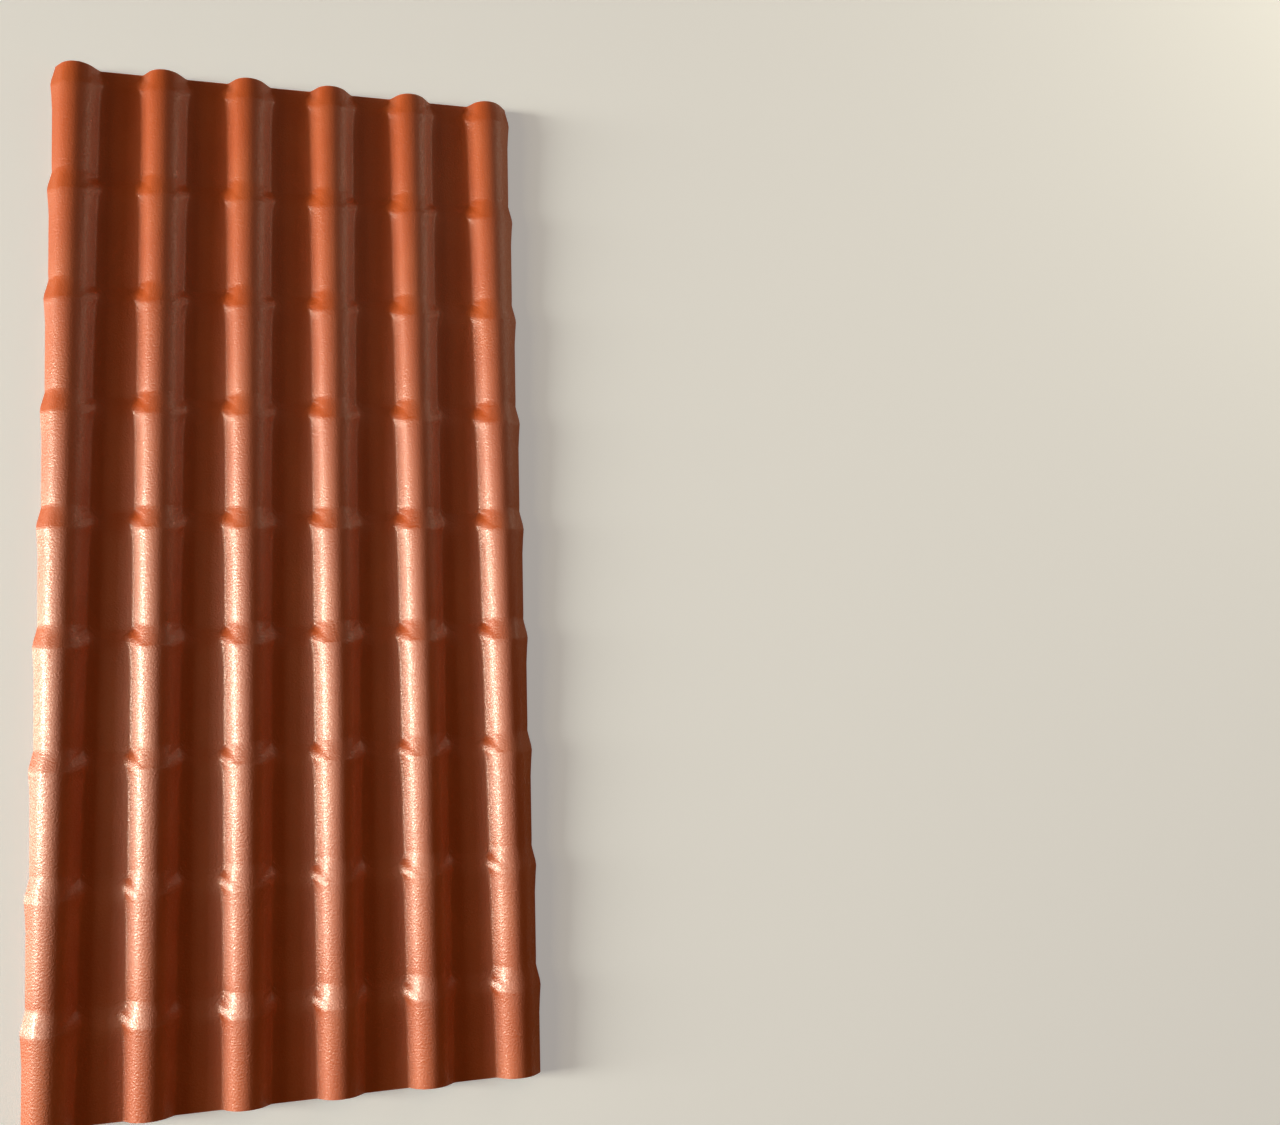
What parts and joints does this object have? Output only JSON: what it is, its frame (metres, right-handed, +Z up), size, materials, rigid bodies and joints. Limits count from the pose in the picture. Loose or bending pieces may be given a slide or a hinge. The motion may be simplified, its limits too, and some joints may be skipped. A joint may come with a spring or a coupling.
{
  "type": "corrugated pvc roof tile sheet",
  "caption": "Wavy terracotta PVC roofing sheet with rounded waves and flat valleys, pressed into stepped tile rows along its length; lies flat, weather face up.",
  "frame": {"origin": "under the middle of the sheet, on the plane that its valleys rest on", "axes": "+X across the waves, +Y along the waves towards the head end, the end cut beside a ramp, +Z up out of the weather face"},
  "size_m": [0.9008, 1.95, 0.0374],
  "materials": {
    "terracotta_pvc": "through-coloured terracotta PVC, glossy with a very fine grain"
  },
  "bodies": {
    "root": {"roof_sheet": "terracotta_pvc"}
  },
  "joints": []
}
